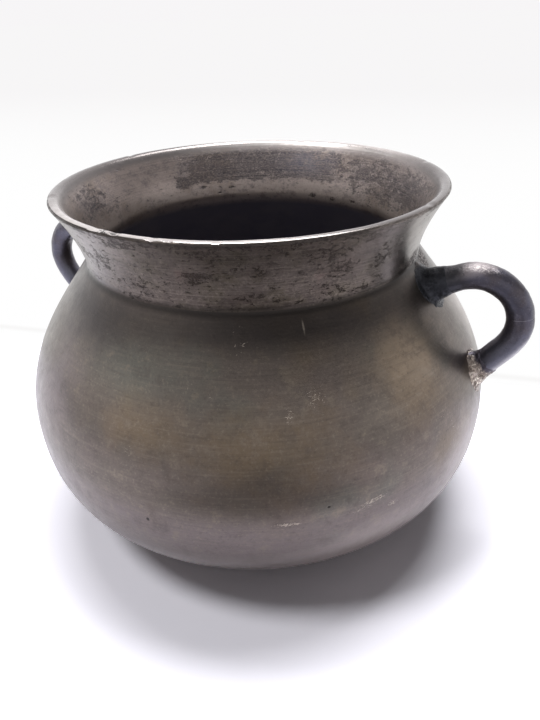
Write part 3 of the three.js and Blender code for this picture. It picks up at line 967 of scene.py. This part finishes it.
for level, braze in brazes.items():
    sleeve = spare(right_bar, "sleeve")
    select_faces(sleeve, braze["half"])
    bpy.ops.mesh.select_all(action="INVERT")
    bpy.ops.mesh.delete(type="FACE")
    bpy.ops.mesh.select_all(action="SELECT")
    bpy.ops.mesh.bisect(plane_co=braze["foot"] + braze["way"] * braze["climb"], plane_no=braze["way"],
                        use_fill=True, clear_outer=True)
    bpy.ops.mesh.select_all(action="SELECT")
    bpy.ops.mesh.fill_holes(sides=0)
    bpy.ops.mesh.normals_make_consistent(inside=False)
    bpy.ops.object.mode_set(mode="OBJECT")
    skirt = spare(pot, "skirt")
    select_faces(skirt, lambda face: (face.center - braze["foot"]).length > braze["reach"]
                 or face.normal.dot(braze["facing"]) < skirt_facing)
    bpy.ops.mesh.delete(type="FACE")
    bpy.ops.object.mode_set(mode="OBJECT")
    plate = skirt.modifiers.new("plate", "SOLIDIFY")
    plate.thickness = skirt_depth
    plate.offset = -1
    bpy.ops.object.modifier_apply(modifier="plate")
    right_lump = spare(frame["nodes"][f"braze_{level}_right"], f"run_braze_{level}_right")
    bpy.ops.object.mode_set(mode="EDIT")
    bpy.ops.mesh.select_all(action="SELECT")
    bpy.ops.mesh.remove_doubles(threshold=merge_distance)
    level_way = Vector((0, 1, 0))
    across_bar = Matrix((braze["way"], level_way, braze["way"].cross(level_way))).transposed()
    bpy.ops.transform.resize(value=(1, braze["share"], braze["share"]), center_override=braze["foot"],
                             orient_type="GLOBAL", orient_matrix=across_bar, orient_matrix_type="GLOBAL")
    bpy.ops.transform.translate(value=-braze["way"] * braze_sink)
    bpy.ops.object.mode_set(mode="OBJECT")
    sleeve.select_set(True)
    skirt.select_set(True)
    bpy.ops.object.join()
    even = right_lump.modifiers.new("even", "REMESH")
    even.mode = "VOXEL"
    even.voxel_size = braze_grain
    bpy.ops.object.modifier_apply(modifier="even")
    film = right_lump.modifiers.new("film", "DISPLACE")
    film.strength = braze_film
    film.mid_level = 0
    bpy.ops.object.modifier_apply(modifier="film")
    soft = right_lump.modifiers.new("soft", "SMOOTH")
    soft.factor = braze_pull
    soft.iterations = braze_softness
    bpy.ops.object.modifier_apply(modifier="soft")
    uneven(right_lump, "lumps", lump_size, braze["lumps"], level=0.45)
    uneven(right_lump, "pits", pit_size, braze["pits"], level=0.5)
    bpy.ops.object.shade_smooth()
    right_lump.data.materials.clear()
    right_lump.data.materials.append(braze["skin"])
    left_lump = turned_copy(right_lump, f"run_braze_{level}_left")
    for lump, node_name in ((right_lump, f"braze_{level}_right"), (left_lump, f"braze_{level}_left")):
        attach(lump, "root")
        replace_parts(lump, node_name)
        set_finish(lump, "braze_spelter")

# The pot stands on a wide pale table, which is brighter to the eye than to the light. A faint line runs
# across it behind the pot. The metal sees a dark place at its front edge, so the belly has a dark band.
table_size = 60.0
table_line = 0.1395
table_line_way = (-0.18, 0.9837, 0)
table_line_width = 0.016
dark_place_ahead = (0.215, 0.275)
dark_place_across = (0.32, 0.12)
front = Vector((math.sin(camera_heading), -math.cos(camera_heading), 0))
aside = Vector((math.cos(camera_heading), math.sin(camera_heading), 0))

bpy.ops.mesh.primitive_plane_add(size=table_size, location=(0, 0, 0))
table = bpy.context.object
table.name = "table_top"
paint = Skin("pale_table")
paint.tree.nodes.remove(paint.tree.nodes["Principled BSDF"])
straight, mirrored = paint.ways_seen()
beyond = paint.along(table_line_way)
shade = paint.along(front).rise(*dark_place_ahead) * abs(paint.along(aside)).rise(*dark_place_across)
plain = paint.add("ShaderNodeBsdfDiffuse", {}, {"Color": (0.8, 0.8, 0.8, 1)})
tint = paint.mix(shade * mirrored, (1.62, 1.6, 1.74, 1), (0.5, 0.48, 0.5, 1))
bright = paint.add("ShaderNodeBsdfDiffuse", {}, {"Color": tint})
faded = paint.mix(beyond.rise(0.5, 2.4), (1, 1, 1, 1), (0.93, 0.92, 0.925, 1))
lined = beyond.line(table_line + 0.012, table_line_width)
wall = paint.mix(lined * 0.6, faded, (0.90, 0.89, 0.885, 1))
far = paint.add("ShaderNodeEmission", {}, {"Color": wall, "Strength": mirrored.rise(0, 1, 1, 1.3)})
past_line = beyond.rise(table_line - 0.02, table_line)
shown = paint.add("ShaderNodeMixShader", {}, {0: past_line, 1: bright, 2: far})
surface = paint.add("ShaderNodeMixShader", {}, {0: straight | mirrored, 1: plain, 2: shown})
paint.set(paint.tree.nodes["Material Output"], "Surface", surface)
table.data.materials.append(paint.material)

# Three soft lamps hang over the table, behind the pot, to its left and in front, so that the shadow is dark
# near the pot and has a paler border.
lamp_height = 2.2
lamps = {
    "rear_lamp": {"across": 0.049, "deep": 0.352, "size": 1.25, "power": 34},
    "left_lamp": {"across": -0.300, "deep": 0.164, "size": 0.64, "power": 12.6},
    "front_lamp": {"across": -0.356, "deep": -0.366, "size": 0.62, "power": 17},
}
for name, lamp in lamps.items():
    place = Vector((lamp["across"], lamp["deep"], 1)) * lamp_height
    bpy.ops.object.light_add(type="AREA", location=place)
    light = bpy.context.object
    light.name = name
    light.data.shape = "DISK"
    light.data.size = lamp["size"]
    light.data.energy = lamp["power"]
    light.rotation_euler = place.to_track_quat("Z", "Y").to_euler()

# The room is white to the eye. The metal sees it brightest on both sides, where the windows are, and less
# bright in front, where the camera stands. Little of its light comes down into the shadow.
room_white = 0.93
shadow_light = 0.08
world = bpy.data.worlds.new("room")
bpy.context.scene.world = world
world.use_nodes = True
room = Nodes(world.node_tree)
way = room.add("ShaderNodeTexCoord", {}, {}, "Generated")
sideways = abs(room.dot(way, aside))
behind = room.dot(way, -front)
windows = sideways.rise(0.5, 1.0, 0.95, 1.6) | behind.rise(0.2, 0.9, 0.95, 1.35)
ceiling_way = Vector((0, 0, 1)) - front * 0.4 + aside * 0.09
ceiling = room.dot(way, ceiling_way)
windows = windows * (ceiling.rise(0.28, 0.44, 1.05, 0.33) | behind.rise(0.2, 0.6))
straight, mirrored = room.ways_seen()
strength = (mirrored * windows) | (straight * room_white) | shadow_light
room.set(room.tree.nodes["Background"], "Color", (1.0, 0.985, 0.995, 1))
room.set(room.tree.nodes["Background"], "Strength", strength)
